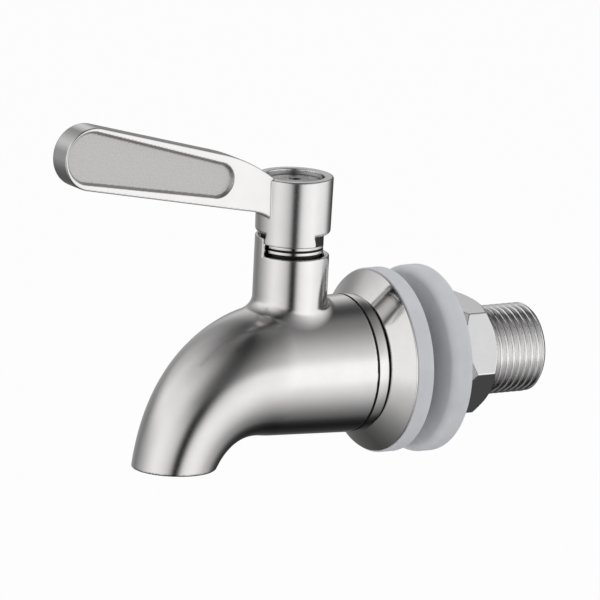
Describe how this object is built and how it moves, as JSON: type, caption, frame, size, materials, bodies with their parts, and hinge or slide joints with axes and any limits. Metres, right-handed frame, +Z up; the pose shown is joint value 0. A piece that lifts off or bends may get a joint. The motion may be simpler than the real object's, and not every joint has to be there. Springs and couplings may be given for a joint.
{
  "type": "beverage dispenser spigot",
  "caption": "Stainless quarter-turn spigot with a curved spout, a flat lever and a threaded shank with sealing washers and a hex nut.",
  "frame": {"origin": "on the shank's axis, at the back face of the flange", "axes": "+Y along the shank into the tank's wall, the spout and the lever point along -Y, +Z up, +X to the side that the lever turns to"},
  "size_m": [0.035, 0.1038, 0.0674],
  "materials": {
    "satin_steel": "satin brushed stainless steel",
    "polished_steel": "polished stainless steel",
    "screw_steel": "plain turned stainless steel",
    "silicone": "pale translucent silicone, matte",
    "black_rubber": "matte black rubber",
    "white_plastic": "matte white seat plastic"
  },
  "bodies": {
    "body": {"spout_body": "satin_steel", "inlet_adapter": "polished_steel", "adapter_o_ring": "black_rubber", "front_seat": "white_plastic", "rear_seat": "white_plastic", "stem_thrust_washer": "white_plastic", "gland_packing": "white_plastic", "gland_nut": "polished_steel", "glide_washer": "white_plastic", "outer_seal_washer": "silicone"},
    "lever": {"lever_handle": "satin_steel", "handle_screw": "screw_steel", "lock_washer": "screw_steel", "flat_washer": "screw_steel", "stem": "satin_steel", "lower_stem_o_ring": "black_rubber", "upper_stem_o_ring": "black_rubber", "valve_ball": "polished_steel"},
    "clamp_washer": {"inner_seal_washer": "silicone"},
    "nut": {"hex_nut": "polished_steel"}
  },
  "joints": [
    {"name": "lever_turn", "type": "hinge", "parent": "body", "child": "lever", "pos_m": [0, -0.0185, 0], "axis": [0, 0, 1], "range_deg": [0, 90]},
    {"name": "nut_travel", "type": "slide", "parent": "body", "child": "clamp_washer", "axis": [0, 1, 0], "range_m": [-0.00401, 0.0107]},
    {"name": "nut_spin", "type": "hinge", "parent": "clamp_washer", "child": "nut", "pos_m": [0, 0.018, 0], "axis": [0, 1, 0], "range_deg": [-1080, 2880]}
  ],
  "couplings": [
    {"joint": "nut_spin", "follows": "nut_travel", "rad_per_m": 4699.5}
  ]
}
